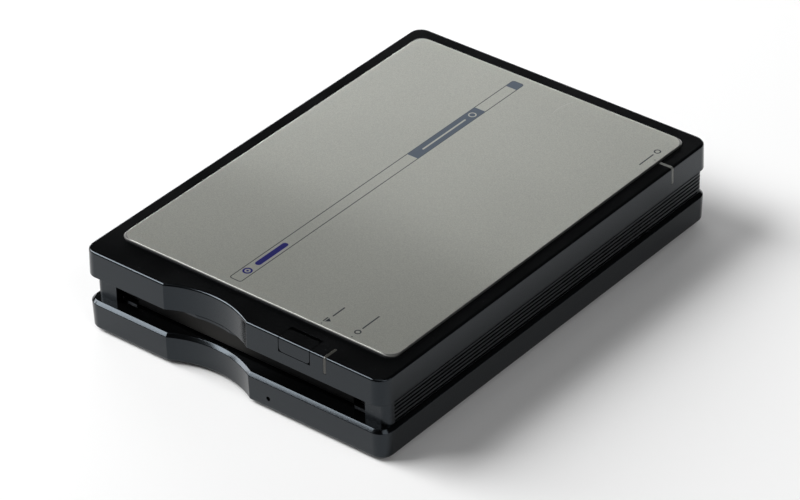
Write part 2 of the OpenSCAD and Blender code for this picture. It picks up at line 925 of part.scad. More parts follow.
module ribbon_cable() {
    y0 = panel_y + board_t + plug_t;
    y1 = io_y0 + plug_y + 1;
    low = io_top + plug_h;
    turn = [y1 + ribbon_t - ribbon_bend, ribbon_z - ribbon_bend];
    color("#d9d6cf") across(ribbon_x - ribbon_w / 2, ribbon_x + ribbon_w / 2)
        polygon(concat([[y0, ribbon_z]], arc(turn, ribbon_bend, 90, 0), [[y1 + ribbon_t, low], [y1, low]],
            arc(turn, ribbon_bend - ribbon_t, 0, 90), [[y0, ribbon_z - ribbon_t]]));
}

// Open slot in the chassis wall that a cam pin comes down in
module pin_slot(y) {
    r = cam_pin_r + cam_clear;
    polygon(concat(arc([y, cam_pin_z - drop - cam_clear], r, 180, 360, 12), [[y + r, far], [y - r, far]]));
}

module drive_chassis() {
    well_y0 = rail_y0 + rail_seat_d + 0.5;
    well_y1 = rail_y1 - rail_seat_d - 0.5;
    color("#9ea2a6") difference() {
        union() {
            plan(tray_z - tray_t, tray_z) difference() {
                union() {
                    polygon(rounded(-tray_wall_out, tray_front, tray_wall_out, tray_back, tray_r));
                    for (x = [-ear_x, ear_x], y = [ear_front, ear_back])
                        polygon(rounded(min(x - sign(x) * ear_root, x + sign(x) * ear_reach), y - ear_half,
                            max(x - sign(x) * ear_root, x + sign(x) * ear_reach), y + ear_half,
                                ear_half / 2));
                }
                polygon(rounded(-well_x, well_y0, well_x, well_y1, tray_r));
                for (x = [-window_x, window_x])
                    polygon(rounded(x - window_half, tray_front + window_y, x + window_half,
                        locate_y - window_y / 2, tray_r));
            }
            both_sides() across(tray_wall_in, tray_wall_out) difference() {
                polygon([[tray_front, tray_z - thin], [tray_wall_back, tray_z - thin], [tray_wall_back,
                    tray_z + tray_r],
                    [tray_wall_back - tray_r, tray_wall_top], [tray_front + tray_r, tray_wall_top],
                    [tray_front, tray_z + tray_r]]);
                pin_slot(pin_front_y);
                pin_slot(pin_back_y);
            }
            for (x = [-rail_x, rail_x], y = [rail_y0, rail_y1 - rail_seat_d])
                along(y, y + rail_seat_d) {
                    translate([x - rail_seat_half, tray_z - thin]) square([2 * rail_seat_half,
                        rail_z - tray_z + thin]);
                    translate([x, rail_z]) circle(r = rail_seat_r);
                }
            for (x = [-locate_x, locate_x])
                translate([x, locate_y, tray_z - thin]) rotate_extrude()
                    polygon([[0, 0], [locate_r, 0], [locate_r, locate_h / 2], [locate_r / 2, locate_h],
                        [0, locate_h]]);
        }
        for (x = [-rail_x, rail_x])
            rod_y(rail_r, rail_y0 - 1, rail_y1 + 1, x, rail_z);
        translate([0, spindle_y, 0]) post(bearing_r + 0.2, 0, far);
        at_mounts() post(screw_r + 0.1, 0, far);
        translate([gear_x, gear_y, 0]) post(axle_r, 0, far);
    }
}

module rubber_mounts() {
    z0 = tray_z - tray_t - mount_h;
    z1 = tray_z - tray_t;
    rim = post_r + 0.2;
    bore = screw_r + 0.1;
    color("#1d1e20") at_mounts() rotate_extrude()
        polygon([[bore, z0], [rim, z0], [rim - mount_h / 2, (z0 + z1) / 2], [rim, z1], [bore, z1]]);
}

module chassis_screws() {
    color("#8d9094") at_mounts() screw(screw_r, cap_r, cap_h, tray_z, floor_z + 0.6);
}

module spindle_motor() {
    bore = shaft_r + fit;
    color("#7d8186") translate([0, spindle_y, tray_z]) difference() {
        rotate_extrude() polygon([[bore, -bearing_low], [bearing_r, -bearing_low], [bearing_r, 0],
            [flange_r, 0],
            [flange_r, flange_t], [stator_r, flange_t], [stator_r, stator_h], [stator_in, stator_h],
            [stator_in, flange_t], [bearing_r, flange_t], [bearing_r, bearing_top], [bore, bearing_top]]);
        for (i = [0:stator_poles - 1])
            rotate([0, 0, 360 * i / stator_poles])
                block([stator_in + 0.6, -pole_gap / 2, flange_t + 0.2], [flange_r, pole_gap / 2,
                    stator_h + 1]);
    }
}

module spindle_rotor() {
    color("#c3c6c9") translate([0, spindle_y, tray_z]) rotate_extrude()
        polygon([[0, -shaft_low], [shaft_r, -shaft_low], [shaft_r, rotor_top - rotor_roof],
            [rotor_r - rotor_wall, rotor_top - rotor_roof], [rotor_r - rotor_wall, rotor_low], [rotor_r,
                rotor_low],
            [rotor_r, rotor_top - rotor_edge], [rotor_r - rotor_edge, rotor_top], [seat_r, rotor_top],
            [seat_r, seat_top], [seat_in, seat_top], [seat_in, rotor_top], [hub_r, rotor_top],
            [hub_r, hub_top - rotor_edge], [hub_r - rotor_edge, hub_top], [0, hub_top]]);
}

module guide_rails() {
    color("#cfd2d4")
        for (x = [-rail_x, rail_x])
            rod_y(rail_r, rail_y0, rail_y1, x, rail_z);
}

module head_carriage() {
    arm = coil_len / 2;
    color("#5a5f66") difference() {
        plan(carriage_z, carriage_z + carriage_h) translate([0, head_y])
            polygon([[-carriage_x, -arm], [-body_x - 2, -arm], [-body_x, -head_half], [body_x, -head_half],
                [body_x + 2, -arm], [carriage_x, -arm], [carriage_x, arm], [body_x + 2, arm], [body_x,
                    head_half],
                [-body_x, head_half], [-body_x - 2, arm], [-carriage_x, arm]]);
        for (x = [-rail_x, rail_x])
            rod_y(rail_r + fit, head_y - far, head_y + far, x, rail_z);
        translate([0, head_y, 0]) post(lens_holder_r + 0.4, 0, far);
        rod_y(beam_r, head_y, head_y + head_half + 1, 0, carriage_z + carriage_h / 2);
        for (s = [-1, 1])
            slab(s * body_x - pocket_half, head_y - arm + 1, s * body_x + pocket_half, head_y + arm - 1,
                pocket_half / 2,
                carriage_z + carriage_h / 2, far);
    }
}

module carriage_coils() {
    low = rail_z - coil_low;
    high = rail_z + coil_high;
    slot = yoke_half + 0.4;
    color("#b06a3a") both_sides() along(head_y - coil_len / 2, head_y + coil_len / 2) difference() {
        polygon(rounded(coil_x - coil_half, low, coil_x + coil_half, high, coil_wall / 2));
        polygon(rounded(coil_x - slot, low + coil_wall, coil_x + slot, high - coil_wall + 0.2,
            coil_wall / 5));
    }
}

module lens_holder() {
    top = carriage_z + carriage_h + 0.1;
    edge = 0.3;
    color("#2e3034") translate([0, head_y, 0]) rotate_extrude()
        polygon([[lens_r, carriage_z + 0.8], [lens_holder_r, carriage_z + 0.8], [lens_holder_r, top - edge],
            [lens_holder_r - edge, top], [lens_r, top]]);
}

module objective_lens() {
    cap_r = 3.4;
    top = carriage_z + carriage_h + 0.4;
    color("#bcd6e8") translate([0, head_y, 0]) intersection() {
        post(lens_r, carriage_z + carriage_h - 0.8, top + 1);
        translate([0, 0, top - cap_r]) sphere(r = cap_r);
    }
}

module coil_yokes() {
    inner = coil_x - yoke_half;
    outer = magnet_x + magnet_t;
    y0 = rail_y0;
    y1 = rail_y1;
    color("#83878c") both_sides() {
        along(y0, y1) polygon(rounded(inner, rail_z - yoke_low, coil_x + yoke_half, rail_z + yoke_high,
            yoke_high / 2));
        plan(tray_z, rail_z + magnet_high)
            polygon([[inner, y0], [outer + yoke_t, y0], [outer + yoke_t, y1], [inner, y1], [inner,
                y1 - yoke_end],
                [outer, y1 - yoke_end], [outer, y0 + yoke_end], [inner, y0 + yoke_end]]);
    }
}

module yoke_magnets() {
    color("#4c4e52") both_sides() along(rail_y0 + magnet_in, rail_y1 - magnet_in)
        polygon(rounded(magnet_x, tray_z, magnet_x + magnet_t, rail_z + magnet_high, magnet_t / 10));
}

module optics_block() {
    back = optics_y0 + optics_d;
    color("#aeb1b4") difference() {
        union() {
            slab(-optics_x, optics_y0, optics_x, back, optics_r, tray_z, optics_top - optics_step);
            slab(optics_in - optics_x, optics_y0 + optics_in / 2, optics_x - optics_in, back - seam,
                optics_r, tray_z, optics_top);
        }
        rod_y(beam_r + 0.4, optics_y0 - 1, optics_y0 + optics_d / 2, 0, tray_z + beam_z);
        rod_y(diode_r + fit, back - diode_depth - 0.2, back + 1, diode_x, tray_z + diode_z);
    }
}

module laser_diode() {
    y = optics_y0 + optics_d;
    z = tray_z + diode_z;
    color("#c8b070") {
        translate([diode_x, y, z]) rotate([-90, 0, 0]) rotate_extrude()
            polygon([[0, -diode_depth], [diode_can, -diode_depth], [diode_can, -diode_flange], [diode_r,
                -diode_flange],
                [diode_r, diode_lip], [0, diode_lip]]);
        for (x = [-lead_gap, 0, lead_gap])
            rod_y(lead_r, y + diode_lip - thin, y + diode_lip + lead_len, diode_x + x, z);
    }
}

// Bent sheet of the holder: flanges under the cartridge, walls beside it and a lid over it
module holder_profile() {
    r = bend + sheet;
    x = holder_in - bend;
    low = flange_top + bend;
    high = holder_lid - bend;
    tip = holder_out - flange_w - sheet;
    polygon(concat([[tip, holder_z]], arc([x, low], r, 270, 360, 6), arc([x, high], r, 0, 90, 6),
        arc([-x, high], r, 90, 180, 6), arc([-x, low], r, 180, 270, 6), [[-tip, holder_z], [-tip,
            flange_top]],
        arc([-x, low], bend, 270, 180, 6), arc([-x, high], bend, 180, 90, 6),
        arc([x, high], bend, 90, 0, 6), arc([x, low], bend, 360, 270, 6), [[tip, flange_top]]));
}

module cartridge_holder() {
    under = holder_lid - bend - thin;
    over = holder_top + 1;
    color("#b3b7bb") {
        difference() {
            along(holder_front, holder_back) holder_profile();
            block([-far, holder_front - 1, under], [far, lid_front, over]);
            slab(-yoke_open, head_y - magnet_lap, yoke_open, head_y + seek_travel + magnet_lap - 1, bend,
                under, over);
            for (x = [-lid_x, lid_x])
                slab(x - lid_half, lid_front + lid_y, x + lid_half, lid_front + lid_y + lid_len,
                    flange_w, under, over);
            slab(-finger_half, lid_front - flange_w, finger_half, lid_front + finger_d, flange_w / 2,
                under, over);
        }
        both_sides()
            for (y = [pin_front_y, pin_back_y])
                rod_x(cam_pin_r, holder_out - thin, slide_out + gap, y, cam_pin_z);
        translate([pivot_x, pivot_y, 0]) {
            post(pivot_r, holder_lid - arm_low - gap, holder_lid + thin);
            post(pivot_r + 0.5, holder_lid - arm_low - gap - 0.5, holder_lid - arm_low - gap + thin);
        }
    }
}

module bias_magnet() {
    y0 = head_y - magnet_lap;
    y1 = head_y + seek_travel + magnet_lap - 1;
    color("#3d4045") {
        slab(0.5 - yoke_open, y0 + 0.5, yoke_open - 0.5, y1 - 0.5, bend, holder_lid + 0.1,
            holder_top + bias_h);
        slab(-yoke_open - 3, y0 - 2, yoke_open + 3, y1 + 1, flange_w / 2, holder_top, holder_top + sheet);
    }
}

module ejector_arm() {
    hub = pivot_r + 1;
    lean = asin((hub - tip_r) / (pivot_x - tip_x));
    color("#8f9498") difference() {
        plan(holder_lid - arm_low, holder_lid - arm_low + arm_t)
            polygon(concat(arc([pivot_x, pivot_y], hub, -90 - lean, 90 + lean, 14),
                arc([tip_x, pivot_y], tip_r, 90 + lean, 270 - lean, 10)));
        translate([pivot_x, pivot_y, 0]) post(pivot_r + fit, 0, far);
    }
}

// Outline of the slanted slot for a cam pin
module cam_slot(y) {
    r = cam_pin_r + cam_clear;
    lean = atan2(drop, load_travel);
    polygon(concat(arc([y, cam_pin_z], r, lean - 90, lean + 90, 12),
        arc([y - load_travel, cam_pin_z - drop], r, lean + 90, lean + 270, 12)));
}

// Side plate of the slide: its rear rises over the gear and up to the bridge
module slide_side() {
    rear = bridge_y + bridge_d;
    snub = 1.5;
    translate([slide_in, 0, 0])
        rotate([90, 0, 90])
            linear_extrude(plate_gauge)
                difference() {
                    polygon([[slide_front + snub, slide_z0], [slide_rise, slide_z0], [slide_rise + 3,
                        slide_rear_z],
                        [rear, slide_rear_z], [rear, bridge_z + bridge_t], [bridge_y, bridge_z + bridge_t],
                        [bridge_y - 2, slide_z1], [slide_front + snub, slide_z1], [slide_front,
                            slide_z1 - snub],
                        [slide_front, slide_z0 + snub]]);
                    cam_slot(pin_front_y);
                    cam_slot(pin_back_y);
                }
}

// Teeth of the rack, with a gap where the gear's tooth points
module rack() {
    pitch = PI * gear_m;
    count = floor((rack_y1 - rack_y0) / pitch);
    first = round((rack_y0 - gear_y) / pitch) + 0.5;
    translate([-slide_in, gear_y, rack_z])
        linear_extrude(rack_t)
            for (i = [0:count - 1])
                translate([0, (first + i) * pitch])
                    polygon([[-thin, -0.26 * pitch], [root + tip, -0.1 * pitch],
                        [root + tip, 0.1 * pitch], [-thin, 0.26 * pitch]]);
}

module load_slide() {
    rear = bridge_y + bridge_d;
    color("#a7abaf") {
        both_sides() slide_side();
        plan(bridge_z, bridge_z + bridge_t) difference() {
            translate([-slide_out, bridge_y]) square([2 * slide_out, bridge_d]);
            for (x = [-lid_x, lid_x])
                polygon(rounded(x - lid_half, bridge_y + bridge_d / 4, x + lid_half, rear - bridge_d / 4,
                    bridge_d / 5));
        }
        block([-slide_out, rear - thin, rack_z], [-slide_in, rack_y1 + 2, rack_z + rack_t]);
        rack();
    }
}

module reduction_gear() {
    color("#e2ddcf") translate([gear_x, gear_y, 0]) difference() {
        union() {
            translate([0, 0, wheel_z]) rotate([0, 0, mesh_angle])
                linear_extrude(wheel_t) polygon(gear_points(wheel_teeth, wheel_r));
            translate([0, 0, rack_z - gap]) rotate([0, 0, 180])
                linear_extrude(rack_t + 2 * gap) polygon(gear_points(rack_teeth, rack_r));
            post(2.3, tray_z + 0.3, rack_z);
        }
        post(axle_r + fit, 0, far);
    }
}

module gear_shaft() {
    top = rack_z + rack_t + 1.4;
    clip = top - bridge_t;
    color("#c9ccce") translate([gear_x, gear_y, 0]) rotate_extrude()
        polygon([[0, tray_z - tray_t], [axle_r, tray_z - tray_t], [axle_r, clip], [2 * axle_r, clip],
            [2 * axle_r, top], [0, top]]);
}

module motor_pinion() {
    color("#c8a24a") translate([motor_x, motor_y, 0]) {
        translate([0, 0, wheel_z - 0.2]) rotate([0, 0, mesh_angle + 180 + 180 / pinion_teeth])
            linear_extrude(wheel_t + 0.4) polygon(gear_points(pinion_teeth, pinion_r));
        post(motor_shaft_r, tray_z + 0.4, motor_z + 1.5);
    }
}

module loading_motor() {
    bore = motor_shaft_r + fit;
    top = motor_z + motor_h;
    flat = motor_r - 0.7;
    color("#b8bbbe") translate([motor_x, motor_y, 0]) intersection() {
        rotate_extrude() polygon([[bore, motor_z - 0.6], [motor_boss_r, motor_z - 0.6], [motor_boss_r,
            motor_z],
            [motor_r, motor_z], [motor_r, top - 0.6], [motor_r - 0.6, top], [0, top], [0, motor_z + 2],
                [bore, motor_z + 2]]);
        block([-far, -flat, 0], [far, flat, far]);
    }
}

module motor_bracket() {
    edge = motor_x + motor_r + sheet;
    r = bend + bracket_t;
    turn = [edge - r, motor_z - r];
    color("#9da1a5") difference() {
        along(motor_y - motor_r, motor_y + motor_r)
            polygon(concat([[motor_x - motor_r, motor_z]], arc(turn, r, 90, 0, 6), [[edge, tray_z],
                [edge - bracket_t, tray_z]],
                arc(turn, bend, 0, 90, 6), [[motor_x - motor_r, motor_z - bracket_t]]));
        translate([motor_x, motor_y, 0]) post(motor_boss_r + fit, 0, far);
    }
}

module drive_board() {
    color("#2f5d3a") difference() {
        slab(-drive_board_x, drive_board_y0, drive_board_x, drive_board_y1, board_r,
            drive_board_top - board_t, drive_board_top);
        translate([0, spindle_y, 0]) post(bearing_r + 1.1, 0, far);
        at_stands() post(peg_r + fit, 0, far);
    }
}

module board_chips() {
    color("#1f2022")
        for (c = [[-chip_x, drive_board_y0 + chip_y, chip_w], [chip_x, drive_board_y0 + chip_y,
            chip_w * 0.75],
            [-chip_x, drive_board_y1 - chip_y, chip_w], [chip_x, drive_board_y1 - chip_y, chip_w * 0.6]])
            translate([c[0], c[1], 0])
                slab(-c[2] / 2, -c[2] / 2, c[2] / 2, c[2] / 2, chip_h / 2, drive_board_top,
                    drive_board_top + chip_h);
}

module interface_board() {
    color("#2f5d3a") plan(io_z, io_top) difference() {
        union() {
            polygon(rounded(-io_x, io_y0, io_x, io_y1, board_r));
            polygon(rounded(io_x - 2 * board_r, power_y - tab_half, tab_x, power_y + tab_half,
                board_r / 2));
        }
        at_io_posts() circle(r = screw_r + 0.1);
    }
    color("#e4e0d4") slab(ribbon_x - plug_half, io_y0 + plug_y, ribbon_x + plug_half,
        io_y0 + plug_y + plug_t, plug_r,
        io_top, io_top + plug_h);
    color("#1f2022") slab(-io_chip_w / 4, io_y0 + plug_y - 2, io_chip_w * 3 / 4,
        io_y0 + plug_y + io_chip_w - 2, chip_h / 2,
        io_top, io_top + chip_h);
}

module board_screws() {
    color("#8d9094") at_io_posts() screw(screw_r, cap_r, cap_h, io_top, floor_z + 1.4);
}

// Mouth of the USB socket, drawn in by inset: a straight top and a narrower keyed bottom
module usb_outline(inset) {
    w = usb_w / 2 - inset;
    key = usb_key - inset / 2;
    polygon([[usb_x - w, io_top + usb_h - inset], [usb_x - w, io_top + usb_h / 2], [usb_x - w + key,
        io_top + inset],
        [usb_x + w - key, io_top + inset], [usb_x + w, io_top + usb_h / 2], [usb_x + w,
            io_top + usb_h - inset]]);
}

module usb_socket() {
    rear = waist_back - 0.4;
    tongue = usb_w / 2 - 1.5;
    color("#c2c5c8") difference() {
        along(rear - usb_d, rear) usb_outline(0);
        along(rear - usb_d + 1, rear + 1) usb_outline(usb_wall);
    }
    color("#202124") block([usb_x - tongue, rear - usb_d + 1 - thin, io_top + usb_h / 2 - usb_wall],
        [usb_x + tongue, rear - 2 * usb_wall, io_top + usb_h / 2 + usb_wall]);
}

module dc_jack() {
    rear = waist_back - 0.2;
    z = io_top + jack_h / 2;
    depth = jack_d - 2;
    color("#202124") difference() {
        along(rear - jack_d, rear)
            polygon(rounded(jack_x - jack_w / 2, io_top, jack_x + jack_w / 2, io_top + jack_h, jack_r));
        rod_y(jack_bore, rear - depth, rear + 1, jack_x, z);
    }
    color("#c8b070") rod_y(jack_pin_r, rear - depth - thin, rear - 1, jack_x, z);
}

lower_case();
waist_frame();
upper_case();
top_plate();
rubber_feet();
case_screws();
eject_button();
access_light_pipe();
power_light_pipe();
slot_flap();
flap_spring();
slot_guides();
front_board();
eject_switch();
status_lamps();
ribbon_cable();
drive_chassis();
rubber_mounts();
chassis_screws();
spindle_motor();
spindle_rotor();
guide_rails();
head_carriage();
carriage_coils();
lens_holder();
objective_lens();
coil_yokes();
yoke_magnets();
optics_block();
laser_diode();
cartridge_holder();
bias_magnet();
ejector_arm();
load_slide();
reduction_gear();
gear_shaft();
motor_pinion();
loading_motor();
motor_bracket();
drive_board();
board_chips();
interface_board();
board_screws();
usb_socket();
dc_jack();
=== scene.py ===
# %% [markdown]
# This scene dresses an external magneto-optical disc drive, a flat black case with a silver lid plate.
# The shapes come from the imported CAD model, in metres, with the front towards -Y and the table at z = 0.
# Blender adds what a drawing leaves out: soft edges, finishes, the printed marks on the lid and the
# light.

import json
from math import cos, pi, radians, sin

import bpy
from mathutils import Matrix, Vector

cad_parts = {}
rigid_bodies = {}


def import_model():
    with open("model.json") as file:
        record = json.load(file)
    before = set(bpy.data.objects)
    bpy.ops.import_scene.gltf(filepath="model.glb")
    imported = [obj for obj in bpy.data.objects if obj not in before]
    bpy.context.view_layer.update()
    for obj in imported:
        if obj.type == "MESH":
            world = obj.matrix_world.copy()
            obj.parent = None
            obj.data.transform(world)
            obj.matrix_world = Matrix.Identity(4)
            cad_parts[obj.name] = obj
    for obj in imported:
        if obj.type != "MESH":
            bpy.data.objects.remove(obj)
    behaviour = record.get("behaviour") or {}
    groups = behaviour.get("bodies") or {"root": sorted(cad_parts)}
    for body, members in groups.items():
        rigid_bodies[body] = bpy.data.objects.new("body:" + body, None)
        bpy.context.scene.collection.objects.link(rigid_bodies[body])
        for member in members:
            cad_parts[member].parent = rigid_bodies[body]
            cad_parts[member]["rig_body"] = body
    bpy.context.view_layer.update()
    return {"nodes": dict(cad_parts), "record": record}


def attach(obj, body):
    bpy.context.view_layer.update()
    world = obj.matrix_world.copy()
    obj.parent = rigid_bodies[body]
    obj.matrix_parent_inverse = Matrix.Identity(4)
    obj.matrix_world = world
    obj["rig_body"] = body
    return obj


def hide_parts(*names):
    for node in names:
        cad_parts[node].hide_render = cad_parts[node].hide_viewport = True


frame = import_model()
NODES = frame["nodes"]

# %% [markdown]
# The photograph was taken from the right front corner, from above, with a long lens. Its direction,
# distance and slight roll were found by matching the case's corners. The camera is built from those
# angles as a matrix of right, up and back vectors, which avoids any guess about the order of rotations.

# %% Camera
AZIMUTH = radians(39.307)
ELEVATION = radians(34.016)
ROLL = radians(-1.216)
EYE = (0.624174, -0.763689, 0.673323)
SENSOR_WIDTH = 36
FOCAL_LENGTH = 181.70
level = Vector((cos(AZIMUTH), sin(AZIMUTH), 0))
back = Vector((sin(AZIMUTH) * cos(ELEVATION), -cos(AZIMUTH) * cos(ELEVATION), sin(ELEVATION)))
upright = back.cross(level)
right = cos(ROLL) * level + sin(ROLL) * upright
up = cos(ROLL) * upright - sin(ROLL) * level

bpy.ops.object.camera_add(location=(0, 0, 0))
camera = bpy.context.object
camera.name = "photo_camera"
turn = Matrix((right, up, back)).transposed().to_4x4()
camera.matrix_world = Matrix.Translation(EYE) @ turn
camera.data.sensor_fit = "HORIZONTAL"
camera.data.sensor_width = SENSOR_WIDTH
camera.data.lens = FOCAL_LENGTH
camera.data.clip_start = 0.05
bpy.context.scene.camera = camera
print("camera at", [round(x, 3) for x in camera.location])

# %% [markdown]
# A finish is a material made of nodes. Wiring each node by hand is long and hard to read, so one small
# class stands for a socket and lets Python's own operators add Math nodes. With it, a mask such as
# "inside the printed strip" reads like the sum that it is.


# %% Writing shader maths as Python
class Wire:
    """One output socket of a finish, with operators that add Math nodes."""

    def __init__(self, finish, socket):
        self.finish = finish
        self.socket = socket

    def maths(self, operation, *values, clamp=False):
        settings = {"operation": operation, "use_clamp": clamp}
        return self.finish.node("ShaderNodeMath", settings, dict(enumerate(values)))

    def __add__(self, other):
        return self.maths("ADD", self, other)

    def __sub__(self, other):
        return self.maths("SUBTRACT", self, other)

    def __rsub__(self, other):
        return self.maths("SUBTRACT", other, self)

    def __mul__(self, other):
        return self.maths("MULTIPLY", self, other)

    def __truediv__(self, other):
        return self.maths("DIVIDE", self, other)

    def __abs__(self):
        return self.maths("ABSOLUTE", self)

    __radd__ = __add__
    __rmul__ = __mul__

    def least(self, other):
        return self.maths("MINIMUM", self, other)

    def most(self, other):
        return self.maths("MAXIMUM", self, other)

    def root(self):
        return self.maths("SQRT", self)

    def zigzag(self, half):
        """Rises to half and falls back to 0, again and again."""
        return self.maths("PINGPONG", self, half)

    def under(self, edge, soft):
        """1 below the edge, 0 above it, with a soft change between."""
        return self.maths("MULTIPLY_ADD", self, -1 / soft, edge / soft + 0.5, clamp=True)


print("wires take + - * / and abs, and have least, most, root, zigzag and under")

# %% [markdown]
# The second class holds the material. What is the same all over the surface is set on the shader itself,
# and what changes comes in by a wire, so one method decides which of the two a value is. Patterns read
# Object coordinates, which stay put on a moving piece and need no unwrapping.


# %% A finish and its nodes
class Finish:
    """A material: values that are the same all over sit on the shader, the rest comes in by wires."""

    def __init__(self, name, **values):
        self.material = bpy.data.materials.new(name)
        self.material.use_nodes = True
        self.tree = self.material.node_tree
        self.shader = self.tree.nodes["Principled BSDF"]
        self.set(**values)

    def set(self, **values):
        for name, value in values.items():
            socket = name.replace("_", " ").title().replace("Ior", "IOR")
            self.plug(self.shader.inputs[socket], value)

    def plug(self, socket, value):
        if isinstance(value, Wire):
            self.tree.links.new(value.socket, socket)
        elif socket.type == "RGBA":
            socket.default_value = (*value, 1)
        else:
            socket.default_value = value

    def node(self, kind, settings=None, sockets=None, output=0):
        made = self.tree.nodes.new(kind)
        for name, value in (settings or {}).items():
            setattr(made, name, value)
        for name, value in (sockets or {}).items():
            self.plug(made.inputs[name], value)
        return Wire(self, made.outputs[output])

    def place(self):
        return self.node("ShaderNodeTexCoord", output="Object")

    def axes(self):
        split = self.node("ShaderNodeSeparateXYZ", sockets={0: self.place()})
        return [Wire(self, s) for s in split.socket.node.outputs]

    def axes_in_mm(self):
        return [axis * 1000 for axis in self.axes()]

    def noise(self, size, detail=2.0, place=None):
        """Smooth noise from 0 to 1 whose grains are about size metres across."""
        sockets = {"Vector": place or self.place(), "Scale": 1 / size, "Detail": detail}
        return self.node("ShaderNodeTexNoise", sockets=sockets)

    def ramp(self, wire, low, high, start=0.0, end=1.0):
        """A value that goes from low to high while the wire goes from start to end."""
        sockets = {0: wire, 1: start, 2: end, 3: low, 4: high}
        return self.node("ShaderNodeMapRange", sockets=sockets)

    def mix(self, mask, a, b):
        """Colour a where the mask is 0 and colour b where it is 1."""
        return self.node("ShaderNodeMix", {"data_type": "RGBA"}, {0: mask, 6: a, 7: b}, output=2)

    def bump(self, height, depth):
        sockets = {"Strength": 1.0, "Distance": depth, "Height": height}
        return self.node("ShaderNodeBump", sockets=sockets)


print("shader helpers ready")

# %% [markdown]
# The case is moulded in black plastic with a very fine spark-eroded grain. Black plastic has almost no
# colour of its own: what shows is the room mirrored in it, so the base stays near black and the work is
# in the roughness. A fine noise makes the grain, a wide one the slight unevenness of gloss, and the peaks
# of a third one are the few pale nicks of use.

# %% Black moulded plastic
PLASTIC_IOR = 1.45
COOL_SHEEN = (0.76, 0.88, 1.0)
GRAIN_SIZE = 0.00022
GRAIN_DEPTH = 0.000004
GLOSS_PATCH = 0.018
NICK_SIZE = 0.0007
NICK_PEAK = (0.74, 0.80)
NICK_GREY = (0.05, 0.052, 0.055)


def moulded_plastic(name, tone, gloss):
    finish = Finish(name, ior=PLASTIC_IOR, specular_tint=COOL_SHEEN)
    fine = finish.noise(GRAIN_SIZE, 3)
    wide = finish.noise(GLOSS_PATCH, 3)
    lighter = tuple(1.5 * t for t in tone)
    nick = finish.ramp(finish.noise(NICK_SIZE, 2), 0.0, 0.6, *NICK_PEAK)
    colour = finish.mix(wide, tone, lighter)
    finish.set(base_color=finish.mix(nick, colour, NICK_GREY))
    finish.set(roughness=finish.ramp(wide + 0.4 * fine, gloss - 0.04, gloss + 0.05, 0.3, 1.1))
    finish.set(normal=finish.bump(fine, GRAIN_DEPTH))
    return finish.material


case_black = moulded_plastic("black_case", (0.0012, 0.0013, 0.0014), 0.155)
waist_black = moulded_plastic("waist_black", (0.0018, 0.0018, 0.0019), 0.28)
part_black = moulded_plastic("black_part", (0.012, 0.012, 0.013), 0.45)
print("plastics", case_black.name, waist_black.name, part_black.name)

# %% [markdown]
# The flap behind the mouth is matt black at its ends. In the middle, under the finger notch, a dark grey
# is painted in: a painted pool of the light that falls through the notch. A mask across the width, broken
# up by noise, mixes the two tones, so the painted light has no edge.

# %% Flap with a painted pool of light
FLAP_BLACK = (0.0015, 0.0015, 0.0015)
FLAP_PAINTED_LIGHT = (0.023, 0.022, 0.0205)
FLAP_GRAIN = 0.0003
FLAP_BLOTCH = 0.006


def flap_with_painted_light(name, middle, reach):
    finish = Finish(name, specular_ior_level=0.15)
    fine = finish.noise(FLAP_GRAIN, 3)
    wide = finish.noise(FLAP_BLOTCH, 2)
    across = abs(finish.axes()[0] - middle)
    # the lighter middle is painted light, where light through the notch falls on the flap
    painted_light = finish.ramp(across, 1.0, 0.0, 0.5 * reach, reach) * finish.ramp(wide, 0.7, 1.0)
    finish.set(base_color=finish.mix(painted_light, FLAP_BLACK, FLAP_PAINTED_LIGHT))
    finish.set(roughness=finish.ramp(wide + 0.4 * fine, 0.52, 0.66, 0.3, 1.1))
    finish.set(normal=finish.bump(fine, 0.000005))
    return finish.material


flap_black = flap_with_painted_light("flap_black", middle=-0.011, reach=0.018)
print("flap", flap_black.name)

# %% [markdown]
# The lid's plate carries printed marks. They could be thin pieces of their own, but ink has no thickness
# worth modelling, so they are drawn in the plate's material as distances to simple shapes: a rounded box,
# a ring and a triangle cover them all. Places are in millimetres from the drive's middle, which suit
# marks of this size.

# %% Shapes for the printed marks
INK_EDGE = 0.16
INK_LINE = 0.2
LINE_WIDTH = 0.45


def box_distance(x, y, x0, y0, x1, y1, r):
    """Distance to a box with round corners, negative inside."""
    dx = abs(x - (x0 + x1) / 2) - ((x1 - x0) / 2 - r)
    dy = abs(y - (y0 + y1) / 2) - ((y1 - y0) / 2 - r)
    out_x = dx.most(0)
    out_y = dy.most(0)
    return (out_x * out_x + out_y * out_y).root() + dx.most(dy).least(0) - r


def box_mark(x, y, x0, y0, x1, y1, r=0.1):
    """1 inside a box with round corners, 0 outside."""
    return box_distance(x, y, x0, y0, x1, y1, r).under(0, INK_EDGE)


def line_mark(x, y, left, start, end):
    """1 on a short line along the lid."""
    return box_mark(x, y, left, start, left + LINE_WIDTH, end)


def ring_mark(x, y, cx, cy, radius, half=INK_LINE):
    """1 on a circle's line of that half width."""
    dx = x - cx
    dy = y - cy
    return abs((dx * dx + dy * dy).root() - radius).under(half, INK_EDGE)


def dot_mark(x, y, cx, cy, radius=INK_LINE):
    """1 inside a small dot, which is a ring of no radius."""
    return ring_mark(x, y, cx, cy, 0, radius)


def triangle_mark(x, y, cx, cy, size):
    """1 inside a triangle that points along +X."""
    slope = abs(y - cy) * 0.8 + (x - (cx + size)) * 0.6
    return slope.most(cx - x).under(0, INK_EDGE)


print("marks have edges", INK_EDGE, "mm soft")

# %% [markdown]
# The longest mark is a strip from the front of the lid to its back, a hairline box with two lengths
# filled in slate. One distance to the rounded box serves twice: near zero it is the outline, and below
# zero the filling, which two wider boxes limit to its lengths. A ring and a line are left open in the
# longer filling, and a disc and a bar in navy stand at the front end.

